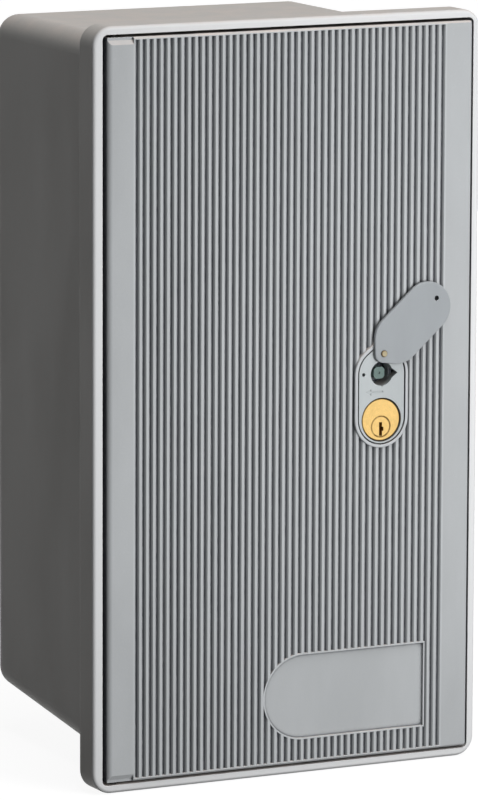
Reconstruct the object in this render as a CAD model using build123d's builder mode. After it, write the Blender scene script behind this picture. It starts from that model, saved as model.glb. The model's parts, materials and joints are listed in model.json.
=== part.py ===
"""Wall box for an electricity meter: a moulded box with a ribbed, lockable door.

Millimetres, +Z up. The wall is the plane Y = 0 and the door faces -Y. The origin is
the middle of the four wall fixings. A stand-off is a distance forward from the wall.
"""

import math
import os

from build123d import *

# Frame and box, one moulding
frame_width = 236.0
frame_height = 420.0
frame_depth = 17.0
frame_corner = 11.0
frame_rim = 4.5
hinge_rim = 5.5
opening_corner = 3.0
frame_edge_round = 2.0
total_depth = 179.0
side_lip = 21.5
top_lip = 10.0
bottom_lip = 8.0
bottom_rise = 19.0
box_corner = 12.0
wall = 3.0

# Wall fixings and cable entries
fixing_from_side = 48.0
fixing_from_end = 50.0
fixing_hole_radius = 3.5
entry_from_side = 73.0
entry_standoff = 70.0
entry_radius = 15.0
grommet_hole_radius = 9.0
grommet_flange_width = 4.0
grommet_flange_thickness = 2.5
grommet_fit = 0.2

# Door
hinge_gap = 2.5
latch_gap = 1.4
end_gap = 1.6
door_proud = 1.5
door_slab = 4.0
door_skirt = 3.0
door_edge_chamfer = 1.0
door_side_round = 3.0
hinge_strip = 15.5
strip_end_step = 1.5
strip_end_bevel = 2.4
strip_end_depth = 1.5
latch_strip = 16.1

# Ribs on the door
rib_count = 46
rib_crest = 1.45
rib_depth = 1.8
groove_floor = 0.3
groove_end = 1.5

# Name plate recess
label_length = 99.0
label_height = 47.0
label_depth = 1.4
label_from_latch_side = 27.5
label_from_bottom = 14.0
label_border = 0.8

# Seal
gasket_thickness = 3.0
gasket_outside_skirt = 1.2
gasket_inside_skirt = 4.4
seal_gap = 0.3

# Hinge
barrel_radius = 5.5
pin_radius = 2.0
pin_in_frame = 3.2
pin_in_barrel = 13.0
pin_seat_fit = 0.02
pin_running_fit = 0.05
bush_radius = 3.4
bush_length = 12.0
bush_seat_fit = 0.02
barrel_bore_depth = 15.0

# Lock plate and its swing cover
lock_from_latch_side = 55.6
lock_height = -1.5
plate_radius = 14.0
plate_centres = 24.5
plate_thickness = 2.5
plate_ear_radius = 4.6
plate_pocket_fit = 0.8
pocket_floor = 2.5
collar_width = 1.7
collar_above_plate = 0.3
collar_edge_round = 0.5
rivet_above_plate = 24.1
rivet_radius = 1.0
rivet_head_radius = 1.8
rivet_head_height = 0.8
rivet_head_round = 0.6
rivet_tail_length = 1.2
rivet_fit = 0.05
cover_radius = 14.3
cover_ear_radius = 5.2
cover_thickness = 2.0
cover_gap = 0.3
cover_edge_round = 0.6
cover_hole_radius = 1.4
cover_hole_from_end = 7.1
cover_rest_angle = 41.4

# Key socket with its recessed post
socket_above_plate = 12.6
socket_radius = 6.8
socket_notch_reach = 9.8
socket_notch_width = 15.0
sleeve_wall = 1.6
sleeve_length = 10.5
sleeve_floor = 4.0
post_radius = 3.7
post_recess = 3.1
post_collar_radius = 5.5
post_collar_thickness = 2.0
post_running_fit = 0.05
post_square = 6.6
post_square_length = 6.5
post_mark_radius = 0.7
post_mark_depth = 0.5
seal_hole_radius = 1.0
seal_hole_offset = 11.2

# Arrow cut in the lock plate
arrow_length = 11.0
arrow_height = 3.6
arrow_line = 1.1
arrow_depth = 0.4
arrow_offset = -4.6
arrow_above_plate = 2.5

# Key cylinder
cylinder_below_plate = 13.2
cylinder_head_radius = 11.8
cylinder_head_fit = 0.5
cylinder_radius = 11.0
cylinder_seat_fit = 0.05
cylinder_recess = 0.6
cylinder_edge_chamfer = 0.5
plug_drop = 3.9
plug_radius = 5.75
plug_fit = 0.05
plug_recess = 0.2
keyway_width = 1.8
keyway_top = 2.4
keyway_bottom = 5.2
keyway_depth = 16.0
keyway_step = 0.9
keyway_step_height = 2.2
nut_flats = 26.0
nut_thickness = 4.0

# Bolt work behind the door
cam_thickness = 2.0
cam_hub_radius = 5.2
cam_arm_radius = 3.0
cam_pin_radius = 1.5
cam_stand_off = 0.5
bolt_travel = 10.0
bolt_thickness = 3.0
bolt_plate_width = 19.0
bolt_plate_left = 12.0
bolt_nose_height = 16.0
bolt_nose_chamfer = 1.0
cam_to_bolt = 0.7
pin_slot_play = 0.6
slide_gap = 0.35

# Lock case
case_depth = 22.5
case_left = 16.0
case_right = 19.0
case_above = 28.0
case_below = 30.0
case_wall = 2.0
case_rail_width = 4.5
case_rail_thickness = 2.0
case_lug_radius = 4.5
case_lug_thickness = 2.0
case_lug_height = 20.0
case_lug_drop = 24.0
case_boss_height = 6.0

# Strike on the box
strike_thickness = 2.0
strike_hook = 8.0
strike_height = 38.0
strike_leg = 14.0
strike_pad = 3.0
strike_screw_spacing = 27.0
bolt_to_strike = 0.9
bolt_to_strike_end = 0.5

# Meter board
board_from_side = 38.0
board_from_end = 62.0
board_thickness = 5.0
board_corner = 5.0
board_standoff = 12.0
board_boss_radius = 6.0
board_hole_inset = 12.0
board_slot_length = 24.0
board_slot_width = 5.5
board_slot_spacing_x = 84.0
board_slot_spacing_z = 150.0

# Screws: a small size for the lock and the strike, a large one for the board
small_screw_radius = 1.5
small_head_radius = 2.8
small_head_height = 1.8
small_screw_length = 8.5
large_screw_radius = 2.4
large_head_radius = 4.6
large_head_height = 3.2
large_screw_length = 14.0
drive_slot_width = 0.9
drive_slot_depth = 0.8
screw_hole_fit = 0.3
screw_tip_gap = 0.5
cam_screw_radius = 1.6
cam_screw_head_radius = 3.0
cam_screw_angle = 90.0
cam_screw_length = 7.0


# Sizes worked out from the ones above

frame_rear = total_depth - frame_depth
ledge_front = frame_rear + wall
half_height = frame_height / 2
half_width = frame_width / 2
box_width = frame_width - 2 * side_lip
box_top = half_height - top_lip
bottom_slope = math.atan2(bottom_rise, frame_rear)

opening_left = hinge_rim - half_width
opening_right = half_width - frame_rim
opening_half_height = half_height - frame_rim

door_front = total_depth + door_proud
slab_rear = door_front - door_slab
gasket_front = ledge_front + gasket_thickness
skirt_rear = gasket_front + seal_gap
door_left = opening_left + hinge_gap
door_right = opening_right - latch_gap
door_half_height = opening_half_height - end_gap
hinge_x = door_left + barrel_radius
hinge_standoff = door_front - barrel_radius
door_corner = opening_corner - end_gap

rib_left = door_left + hinge_strip
rib_right = door_right - latch_strip
rib_pitch = (rib_right - rib_left) / rib_count

lock_x = door_right - lock_from_latch_side
rivet_z = lock_height + rivet_above_plate
socket_z = lock_height + socket_above_plate
cylinder_z = lock_height - cylinder_below_plate
plug_z = cylinder_z - plug_drop
bolt_z = (socket_z + plug_z) / 2

pocket_front = slab_rear + pocket_floor
plate_front = pocket_front + plate_thickness
collar_front = plate_front + collar_above_plate
cover_rear = collar_front + cover_gap
cover_front = cover_rear + cover_thickness
near_centre = rivet_above_plate - plate_centres / 2
cover_end = near_centre + plate_centres + cover_radius

sleeve_rear = slab_rear - sleeve_length
sleeve_radius = socket_radius + sleeve_wall
post_front = plate_front - post_recess

# The crank pins stand this far off their axes to each side at the ends of the travel
crank_offset = bolt_travel / 2
crank_radius = math.hypot(crank_offset, crank_offset)

cylinder_front = plate_front - cylinder_recess
plug_front = cylinder_front - plug_recess
lug_front = slab_rear - case_boss_height
case_floor = slab_rear - case_depth
bolt_rear = case_floor + slide_gap
bolt_front = bolt_rear + bolt_thickness
cam_rear = bolt_front + cam_to_bolt
cam_front = cam_rear + cam_thickness
cylinder_rear = cam_front + cam_stand_off

label_right = door_right - label_from_latch_side
label_z = label_from_bottom + label_height / 2 - door_half_height
label_floor = door_front - label_depth

case_left_x = lock_x - case_left
case_right_x = lock_x + case_right
case_top_z = lock_height + case_above
case_bottom_z = lock_height - case_below
bolt_top_z = case_top_z - slide_gap
bolt_bottom_z = case_bottom_z + slide_gap

inner_side = box_width / 2 - wall
strike_base_x = inner_side - strike_pad - strike_thickness
strike_rear = bolt_front + bolt_to_strike
strike_screw_y = (strike_leg + strike_thickness) / 2 - strike_rear - strike_thickness
strike_screw_length = strike_thickness + strike_pad + wall / 2
bolt_tip_x = strike_base_x - bolt_to_strike_end - bolt_travel

fixing_spacing_x = frame_width - 2 * fixing_from_side
fixing_spacing_z = frame_height - 2 * fixing_from_end
entry_spacing = frame_width - 2 * entry_from_side

board_width = frame_width - 2 * board_from_side
board_height = frame_height - 2 * board_from_end
board_rear = wall + board_standoff
board_front = board_rear + board_thickness


def facing(standoff):
    """Plane parallel to the wall, seen from the front: its x is +X, its y is +Z."""
    return Plane.XZ.offset(standoff)


def box_bottom(standoff):
    """Height of the outside of the sloping bottom wall at a stand-off."""
    return bottom_lip - half_height + (frame_rear - standoff) * math.tan(bottom_slope)


def box_form(inset, front):
    """The box's rounded outer form, or with an inset its hollow, up to a front plane."""
    rise = inset / math.cos(bottom_slope)
    with BuildPart() as form:
        with BuildSketch(Plane.YZ.offset(inset - box_width / 2)):
            with BuildLine():
                Polyline(
                    (-inset, box_bottom(inset) + rise),
                    (-inset, box_top - inset),
                    (-front, box_top - inset),
                    (-front, box_bottom(front) + rise),
                    close=True,
                )
            make_face()
        extrude(amount=box_width - 2 * inset)
        mouth = form.faces().sort_by(Axis.Y)[0]
        fillet(form.edges() - mouth.edges(), box_corner - inset)
    return form.part


def tangent_points(length, start_radius, end_radius):
    """Where the two outer tangents touch a circle at the origin and one along +x."""
    across = math.acos((start_radius - end_radius) / length)
    x, y = math.cos(across), math.sin(across)
    return [
        (start_radius * x, start_radius * y),
        (length + end_radius * x, end_radius * y),
        (length + end_radius * x, -end_radius * y),
        (start_radius * x, -start_radius * y),
    ]


def lock_shape(plane, radius, ear_radius):
    """Outline shared by the plate, its pocket and its cover. The rivet is at the plane's
    origin, and the plane's x points to the far end."""
    with BuildSketch(plane) as shape:
        with Locations((near_centre + plate_centres / 2, 0)):
            SlotCenterToCenter(plate_centres, 2 * radius)
        Circle(ear_radius)
        with BuildLine():
            Polyline(tangent_points(near_centre, ear_radius, radius), close=True)
        make_face()
    return shape.sketch


def hanging(standoff):
    """Plane at the rivet whose x points down, as the lock plate lies."""
    return Plane(origin=(lock_x, -standoff, rivet_z), x_dir=(0, 0, -1), z_dir=(0, -1, 0))


def socket_shape(standoff):
    """Outline of the key socket: a round hole with a pointed notch at three o'clock."""
    tip_x = lock_x + socket_notch_reach
    with BuildSketch(facing(standoff)) as shape:
        with Locations((lock_x, socket_z)):
            Circle(socket_radius)
        with BuildLine():
            Polyline(
                (lock_x, socket_z + socket_notch_width / 2),
                (tip_x, socket_z),
                (lock_x, socket_z - socket_notch_width / 2),
                close=True,
            )
        make_face()
    return shape.sketch


def label_shape(standoff, border):
    """Outline of the name plate field: square to the latch side, round to the hinge."""
    with BuildSketch(facing(standoff)) as shape:
        with Locations((label_right + border, label_z)):
            Rectangle(
                label_length - label_height / 2 + border,
                label_height + 2 * border,
                align=(Align.MAX, Align.CENTER),
            )
        with Locations((label_right - label_length + label_height / 2, label_z)):
            Circle(label_height / 2 + border)
    return shape.sketch


def arrow_shape(standoff):
    """Outline of an arrow that points to the hinge side."""
    tip_x = lock_x + arrow_offset - arrow_length / 2
    middle_z = lock_height + arrow_above_plate
    with BuildSketch(facing(standoff)) as shape:
        with BuildLine():
            Polyline(
                (tip_x, middle_z),
                (tip_x + arrow_height, middle_z + arrow_height / 2),
                (tip_x + arrow_height, middle_z - arrow_height / 2),
                close=True,
            )
        make_face()
        with Locations((tip_x + arrow_length, middle_z)):
            Rectangle(arrow_length - arrow_height / 2, arrow_line, align=(Align.MAX, Align.CENTER))
    return shape.sketch


def screw(plane, radius, length, head_radius, head_height):
    """Slotted pan-head screw. The plane's origin is under the head, its z out of it."""
    with BuildPart() as body:
        with BuildSketch(plane.offset(-length)):
            Circle(radius)
        extrude(amount=length)
        with BuildSketch(plane):
            Circle(head_radius)
        extrude(amount=head_height)
        rim = body.edges().filter_by(GeomType.CIRCLE).group_by(SortBy.RADIUS)[-1]
        top = rim.sort_by(lambda edge: plane.to_local_coords(edge.center()).Z)[-1]
        fillet(top, head_height / 2)
        with BuildSketch(plane.offset(head_height - drive_slot_depth)):
            Rectangle(2 * head_radius, drive_slot_width)
        extrude(amount=drive_slot_depth, mode=Mode.SUBTRACT)
    return body.part


def cam(standoff, axis_z, pin_side):
    """Crank plate on a lock spindle. Its pin stands up or down from the axis."""
    arm = Plane(origin=(lock_x, -standoff, axis_z), x_dir=(-1, 0, pin_side), z_dir=(0, -1, 0))
    with BuildPart() as plate:
        with BuildSketch(arm):
            Circle(cam_hub_radius)
            with Locations((crank_radius, 0)):
                Circle(cam_arm_radius)
            with BuildLine():
                Polyline(tangent_points(crank_radius, cam_hub_radius, cam_arm_radius), close=True)
            make_face()
        extrude(amount=cam_thickness)
        with BuildSketch(arm):
            with Locations((crank_radius, 0)):
                Circle(cam_pin_radius)
        extrude(amount=bolt_rear + slide_gap - standoff)
        with Locations(Plane(origin=arm.origin, z_dir=(0, 1, 0))):
            CounterSinkHole(
                cam_screw_radius + pin_seat_fit,
                cam_screw_head_radius,
                counter_sink_angle=cam_screw_angle,
            )
    return plate.part


def cam_screw(standoff, axis_z):
    """Countersunk screw that holds a cam on its spindle from behind."""
    out_of_head = Plane(origin=(lock_x, -standoff, axis_z), z_dir=(0, 1, 0))
    cone_height = (cam_screw_head_radius - cam_screw_radius) / math.tan(
        math.radians(cam_screw_angle / 2)
    )
    with BuildPart() as body:
        with BuildSketch(out_of_head.offset(-cam_screw_length)):
            Circle(cam_screw_radius)
        extrude(amount=cam_screw_length)
        with BuildSketch(out_of_head.offset(-cone_height)):
            Circle(cam_screw_radius)
        with BuildSketch(out_of_head):
            Circle(cam_screw_head_radius - pin_seat_fit)
        loft()
        with BuildSketch(out_of_head.offset(-drive_slot_depth)):
            Rectangle(2 * cam_screw_radius, drive_slot_width)
        extrude(amount=drive_slot_depth, mode=Mode.SUBTRACT)
    return body.part


# Places that repeat

fixing_places = GridLocations(fixing_spacing_x, fixing_spacing_z, 2, 2).locations
board_hole_places = GridLocations(
    board_width - 2 * board_hole_inset, board_height - 2 * board_hole_inset, 2, 2
).locations
case_lug_places = [
    (lock_x + side, lock_height + height)
    for side in (-case_left - case_wall - case_lug_radius, case_right + case_wall + case_lug_radius)
    for height in (case_lug_height, -case_lug_drop)
]
strike_screw_heights = [
    bolt_z - strike_screw_spacing / 2,
    bolt_z + strike_screw_spacing / 2,
]
entry_planes = [
    Plane(
        origin=(side * entry_spacing / 2, -entry_standoff, box_bottom(entry_standoff)),
        x_dir=(1, 0, 0),
        z_dir=(0, math.sin(bottom_slope), -math.cos(bottom_slope)),
    )
    for side in (-1, 1)
]


# Box, a single moulding: its frame, the tray that the door lies in, and the box behind

outer_form = box_form(0, frame_rear)
hollow_form = box_form(wall, ledge_front)

with BuildPart() as body_shell:
    with BuildSketch(facing(frame_rear)):
        RectangleRounded(frame_width, frame_height, frame_corner)
    extrude(amount=frame_depth)
    fillet(body_shell.faces().sort_by(Axis.Y)[0].edges(), frame_edge_round)
    add(outer_form)
    with BuildSketch(facing(ledge_front)):
        with Locations(((opening_left + opening_right) / 2, 0)):
            RectangleRounded(opening_right - opening_left, 2 * opening_half_height, opening_corner)
    extrude(amount=total_depth - ledge_front, mode=Mode.SUBTRACT)
    add(hollow_form, mode=Mode.SUBTRACT)
    # bosses for the meter board
    with BuildSketch(facing(wall)):
        with Locations(board_hole_places):
            Circle(board_boss_radius)
    extrude(amount=board_standoff)
    with BuildSketch(facing(board_front)):
        with Locations(board_hole_places):
            Circle(large_screw_radius)
    extrude(amount=-large_screw_length - screw_tip_gap, mode=Mode.SUBTRACT)
    # pad for the strike on the latch side wall
    with BuildSketch(Plane.YZ.offset(inner_side - strike_pad)):
        with Locations((-strike_rear - strike_thickness, bolt_z)):
            Rectangle(strike_leg, strike_height, align=(Align.MIN, Align.CENTER))
    extrude(amount=strike_pad + wall / 2)
    with BuildSketch(Plane.YZ.offset(strike_base_x)):
        with Locations([(strike_screw_y, z) for z in strike_screw_heights]):
            Circle(small_screw_radius)
    extrude(amount=strike_screw_length + screw_tip_gap, mode=Mode.SUBTRACT)
    # wall fixings
    with BuildSketch(facing(0)):
        with Locations(fixing_places):
            Circle(fixing_hole_radius)
    extrude(amount=wall, mode=Mode.SUBTRACT)
    # cable entries in the sloping bottom
    for entry_plane in entry_planes:
        with BuildSketch(entry_plane):
            Circle(entry_radius)
        extrude(amount=-wall - wall, mode=Mode.SUBTRACT)
    # sockets for the hinge pins
    for side in (-1, 1):
        with Locations((hinge_x, -hinge_standoff, side * (opening_half_height + pin_in_frame / 2))):
            Cylinder(pin_radius + pin_seat_fit, pin_in_frame, mode=Mode.SUBTRACT)
body_shell.part.label = "body_shell"


# Seal on the ledge behind the door

with BuildPart() as door_gasket:
    with BuildSketch(facing(ledge_front)):
        with Locations(((hinge_x + door_right) / 2, 0)):
            RectangleRounded(
                door_right - hinge_x + 2 * gasket_outside_skirt,
                2 * (door_half_height + gasket_outside_skirt),
                opening_corner,
            )
            Rectangle(
                door_right - hinge_x - 2 * gasket_inside_skirt,
                2 * (door_half_height - gasket_inside_skirt),
                mode=Mode.SUBTRACT,
            )
    extrude(amount=gasket_thickness)
door_gasket.part.label = "door_gasket"


# Cable grommets: a neck in the wall between two flanges

with BuildPart() as cable_grommets:
    for entry_plane in entry_planes:
        for start, height, radius in (
            (0, grommet_flange_thickness, entry_radius + grommet_flange_width),
            (-wall, wall, entry_radius - grommet_fit),
            (
                -wall - grommet_flange_thickness,
                grommet_flange_thickness,
                entry_radius + grommet_flange_width,
            ),
        ):
            with BuildSketch(entry_plane.offset(start)):
                Circle(radius)
                Circle(grommet_hole_radius, mode=Mode.SUBTRACT)
            extrude(amount=height)
cable_grommets.part.label = "cable_grommets"


# Meter board on its four bosses, with slots for the meter

with BuildPart() as meter_board:
    with BuildSketch(facing(board_rear)):
        RectangleRounded(board_width, board_height, board_corner)
        with Locations(board_hole_places):
            Circle(large_screw_radius + screw_hole_fit, mode=Mode.SUBTRACT)
        with GridLocations(board_slot_spacing_x, board_slot_spacing_z, 2, 2):
            SlotOverall(board_slot_length, board_slot_width, mode=Mode.SUBTRACT)
    extrude(amount=board_thickness)
meter_board.part.label = "meter_board"

with BuildPart() as board_screws:
    for place in board_hole_places:
        seat = Plane(
            origin=(place.position.X, -board_front, place.position.Y),
            x_dir=(1, 0, 0),
            z_dir=(0, -1, 0),
        )
        add(
            screw(
                seat,
                large_screw_radius,
                large_screw_length,
                large_head_radius,
                large_head_height,
            )
        )
board_screws.part.label = "board_screws"


# Strike: an angle of steel whose hook the bolt passes behind

with BuildPart() as strike_bracket:
    with BuildSketch(Plane.XY.offset(bolt_z - strike_height / 2)):
        with Locations((strike_base_x, -strike_rear - strike_thickness)):
            Rectangle(strike_thickness, strike_leg, align=(Align.MIN, Align.MIN))
            Rectangle(strike_hook, strike_thickness, align=(Align.MAX, Align.MIN))
    extrude(amount=strike_height)
    with BuildSketch(Plane.YZ.offset(strike_base_x)):
        with Locations([(strike_screw_y, z) for z in strike_screw_heights]):
            Circle(small_screw_radius + screw_hole_fit)
    extrude(amount=strike_thickness, mode=Mode.SUBTRACT)
strike_bracket.part.label = "strike_bracket"

with BuildPart() as strike_screws:
    for z in strike_screw_heights:
        seat = Plane(origin=(strike_base_x, strike_screw_y, z), x_dir=(0, 1, 0), z_dir=(-1, 0, 0))
        add(
            screw(
                seat,
                small_screw_radius,
                strike_screw_length,
                small_head_radius,
                small_head_height,
            )
        )
strike_screws.part.label = "strike_screws"


# Hinge: a pin fixed in the frame at each end, turning in a bush in the door's barrel

with BuildPart() as hinge_pins:
    for side in (-1, 1):
        with Locations((hinge_x, -hinge_standoff, side * (opening_half_height + pin_in_frame))):
            Cylinder(
                pin_radius,
                pin_in_frame + end_gap + pin_in_barrel,
                align=(Align.CENTER, Align.CENTER, Align.MAX if side > 0 else Align.MIN),
            )
hinge_pins.part.label = "hinge_pins"

with BuildPart() as hinge_bushes:
    for side in (-1, 1):
        with Locations((hinge_x, -hinge_standoff, side * (door_half_height - bush_length / 2))):
            Cylinder(bush_radius, bush_length)
            Cylinder(pin_radius + pin_running_fit, bush_length, mode=Mode.SUBTRACT)
hinge_bushes.part.label = "hinge_bushes"


# Door, a single moulding: barrel, slab and skirt, ribs, name plate recess, lock seat

with BuildPart() as door_panel:
    with BuildSketch(Plane.XY.offset(-door_half_height)):
        with Locations((hinge_x, -door_front)):
            Rectangle(
                door_right - hinge_x,
                door_front - skirt_rear,
                align=(Align.MIN, Align.MIN),
            )
            Rectangle(barrel_radius, barrel_radius, align=(Align.MAX, Align.MIN))
        with Locations((hinge_x, -hinge_standoff)):
            Circle(barrel_radius)
    extrude(amount=2 * door_half_height)
    fillet(
        door_panel.edges().filter_by(Axis.Y).group_by(Axis.X)[-1],
        door_corner,
    )
    front_face = door_panel.faces().filter_by(Axis.Y).sort_by(Axis.Y)[0]
    chamfer(
        front_face.edges().filter_by_position(Axis.X, hinge_x, door_right),
        door_edge_chamfer,
    )
    front_sides = door_panel.faces().filter_by(Axis.Y).sort_by(Axis.Y)[0].edges().filter_by(Axis.Z)
    fillet(front_sides.sort_by(Axis.X)[0], door_side_round)
    # the hinge strip ends short of the ribs, with a bevel
    for side in (-1, 1):
        end_z = side * door_half_height
        bevel_z = end_z - side * strip_end_step
        with BuildSketch(Plane.YZ.offset(door_left)):
            with BuildLine():
                Polyline(
                    (-door_front, end_z),
                    (-door_front, bevel_z - side * strip_end_bevel),
                    (strip_end_depth - door_front, bevel_z),
                    (strip_end_depth - door_front, end_z),
                    close=True,
                )
            make_face()
        extrude(amount=rib_left - door_left, mode=Mode.SUBTRACT)
    # the inside of the skirt
    with BuildSketch(facing(skirt_rear)):
        with Locations(((hinge_x + door_right) / 2, 0)):
            Rectangle(door_right - hinge_x - 2 * door_skirt, 2 * (door_half_height - door_skirt))
    extrude(amount=slab_rear - skirt_rear, mode=Mode.SUBTRACT)
    # grooves between the ribs
    groove_top = rib_pitch - rib_crest
    flank_angle = math.degrees(math.atan2(rib_depth, (groove_top - groove_floor) / 2))
    with BuildSketch(Plane.XY.offset(groove_end - door_half_height)):
        with Locations(((rib_left + rib_right) / 2, -door_front)):
            with GridLocations(rib_pitch, 1, rib_count, 1):
                Trapezoid(
                    groove_top,
                    rib_depth,
                    flank_angle,
                    align=(Align.CENTER, Align.MIN),
                )
    extrude(amount=2 * (door_half_height - groove_end), mode=Mode.SUBTRACT)
    # name plate recess in a thin border, round at its hinge end
    extrude(label_shape(slab_rear, label_border), amount=door_slab)
    extrude(label_shape(label_floor, 0), amount=label_depth, mode=Mode.SUBTRACT)
    # collar round the lock plate, and the pocket that the plate lies in
    extrude(
        lock_shape(
            hanging(slab_rear),
            plate_radius + plate_pocket_fit + collar_width,
            plate_ear_radius + plate_pocket_fit + collar_width,
        ),
        amount=collar_front - slab_rear,
    )
    fillet(door_panel.faces().sort_by(Axis.Y)[0].edges(), collar_edge_round)
    extrude(
        lock_shape(
            hanging(pocket_front),
            plate_radius + plate_pocket_fit,
            plate_ear_radius + plate_pocket_fit,
        ),
        amount=collar_front - pocket_front,
        mode=Mode.SUBTRACT,
    )
    # sleeve behind the key socket, with the bearing of the post in its floor
    with BuildSketch(facing(sleeve_rear)):
        with Locations((lock_x, socket_z)):
            Circle(sleeve_radius)
    extrude(amount=sleeve_length)
    with BuildSketch(facing(sleeve_rear + sleeve_floor)):
        with Locations((lock_x, socket_z)):
            Circle(socket_radius)
    extrude(amount=sleeve_length - sleeve_floor, mode=Mode.SUBTRACT)
    extrude(socket_shape(slab_rear), amount=pocket_floor, mode=Mode.SUBTRACT)
    with BuildSketch(facing(sleeve_rear)):
        with Locations((lock_x, socket_z)):
            Circle(post_radius + post_running_fit)
    extrude(amount=sleeve_floor, mode=Mode.SUBTRACT)
    # holes for the key cylinder and the rivet
    with BuildSketch(facing(slab_rear)):
        with Locations((lock_x, cylinder_z)):
            Circle(cylinder_radius + cylinder_seat_fit)
        with Locations((lock_x, rivet_z)):
            Circle(rivet_radius + rivet_fit)
    extrude(amount=pocket_floor, mode=Mode.SUBTRACT)
    # bosses for the lock case
    with BuildSketch(facing(lug_front)):
        with Locations(case_lug_places):
            Circle(case_lug_radius)
    extrude(amount=case_boss_height)
    with BuildSketch(facing(lug_front)):
        with Locations(case_lug_places):
            Circle(small_screw_radius)
    extrude(
        amount=small_screw_length - case_lug_thickness + screw_tip_gap,
        mode=Mode.SUBTRACT,
    )
    # bores for the hinge bushes
    for side in (-1, 1):
        with Locations((hinge_x, -hinge_standoff, side * (door_half_height - barrel_bore_depth / 2))):
            Cylinder(bush_radius + bush_seat_fit, barrel_bore_depth, mode=Mode.SUBTRACT)
door_panel.part.label = "door_panel"


# Lock plate, with the key socket, an arrow for the way to turn, and the sealing hole

with BuildPart() as lock_plate:
    extrude(
        lock_shape(hanging(pocket_front), plate_radius, plate_ear_radius),
        amount=plate_thickness,
    )
    extrude(socket_shape(pocket_front), amount=plate_thickness, mode=Mode.SUBTRACT)
    with BuildSketch(facing(pocket_front)):
        with Locations((lock_x, cylinder_z)):
            Circle(cylinder_head_radius + cylinder_head_fit)
        with Locations((lock_x, rivet_z)):
            Circle(rivet_radius + rivet_fit)
        with Locations((lock_x - seal_hole_offset, socket_z)):
            Circle(seal_hole_radius)
    extrude(amount=plate_thickness, mode=Mode.SUBTRACT)
    extrude(arrow_shape(plate_front - arrow_depth), amount=arrow_depth, mode=Mode.SUBTRACT)
lock_plate.part.label = "lock_plate"


# Swing cover on its rivet, drawn where it was left: swung up to the latch side

cover_axis = Vector(math.cos(math.radians(cover_rest_angle)), 0, math.sin(math.radians(cover_rest_angle)))
cover_plane = Plane(origin=(lock_x, -cover_rear, rivet_z), x_dir=cover_axis, z_dir=(0, -1, 0))

with BuildPart() as swing_cover:
    extrude(lock_shape(cover_plane, cover_radius, cover_ear_radius), amount=cover_thickness)
    fillet(swing_cover.faces().sort_by(Axis.Y)[0].edges(), cover_edge_round)
    with BuildSketch(cover_plane):
        Circle(rivet_radius + rivet_fit)
        with Locations((cover_end - cover_hole_from_end, 0)):
            Circle(cover_hole_radius)
    extrude(amount=cover_thickness, mode=Mode.SUBTRACT)
swing_cover.part.label = "swing_cover"

with BuildPart() as cover_rivet:
    for start, end, radius in (
        (slab_rear, cover_front + cover_gap, rivet_radius),
        (cover_front + cover_gap, cover_front + cover_gap + rivet_head_height, rivet_head_radius),
        (slab_rear - rivet_tail_length, slab_rear, rivet_head_radius),
    ):
        with BuildSketch(facing(start)):
            with Locations((lock_x, rivet_z)):
                Circle(radius)
        extrude(amount=end - start)
    fillet(cover_rivet.faces().sort_by(Axis.Y)[0].edges(), rivet_head_round)
cover_rivet.part.label = "cover_rivet"


# Key cylinder: a brass body with a head, the nut behind it, and the plug low in it

with BuildPart() as cylinder_housing:
    for start, end, radius in (
        (cylinder_rear, pocket_front, cylinder_radius),
        (pocket_front, cylinder_front, cylinder_head_radius),
    ):
        with BuildSketch(facing(start)):
            with Locations((lock_x, cylinder_z)):
                Circle(radius)
        extrude(amount=end - start)
    chamfer(cylinder_housing.faces().sort_by(Axis.Y)[0].edges(), cylinder_edge_chamfer)
    with BuildSketch(facing(cylinder_rear)):
        with Locations((lock_x, plug_z)):
            Circle(plug_radius + plug_fit)
    extrude(amount=cylinder_front - cylinder_rear, mode=Mode.SUBTRACT)
cylinder_housing.part.label = "cylinder_housing"

with BuildPart() as cylinder_nut:
    with BuildSketch(facing(slab_rear - nut_thickness)):
        with Locations((lock_x, cylinder_z)):
            RegularPolygon(nut_flats / 2, 6, major_radius=False)
            Circle(cylinder_radius + cylinder_seat_fit, mode=Mode.SUBTRACT)
    extrude(amount=nut_thickness)
cylinder_nut.part.label = "cylinder_nut"

with BuildPart() as cylinder_plug:
    with BuildSketch(facing(cam_front)):
        with Locations((lock_x, plug_z)):
            Circle(plug_radius)
    extrude(amount=plug_front - cam_front)
    # keyway: a slot stepped to one side half way down
    with BuildSketch(facing(plug_front - keyway_depth)):
        with Locations((lock_x, plug_z + keyway_top)):
            Rectangle(keyway_width, keyway_top + keyway_bottom, align=(Align.CENTER, Align.MAX))
        with Locations((lock_x, plug_z + (keyway_top - keyway_bottom) / 2)):
            Rectangle(
                keyway_width / 2 + keyway_step,
                keyway_step_height,
                align=(Align.MIN, Align.CENTER),
            )
    extrude(amount=keyway_depth, mode=Mode.SUBTRACT)
    with BuildSketch(facing(cam_front)):
        with Locations((lock_x, plug_z)):
            Circle(cam_screw_radius)
    extrude(amount=cam_screw_length - cam_thickness + screw_tip_gap, mode=Mode.SUBTRACT)
cylinder_plug.part.label = "cylinder_plug"


# Post in the key socket, with a collar behind its bearing

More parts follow.
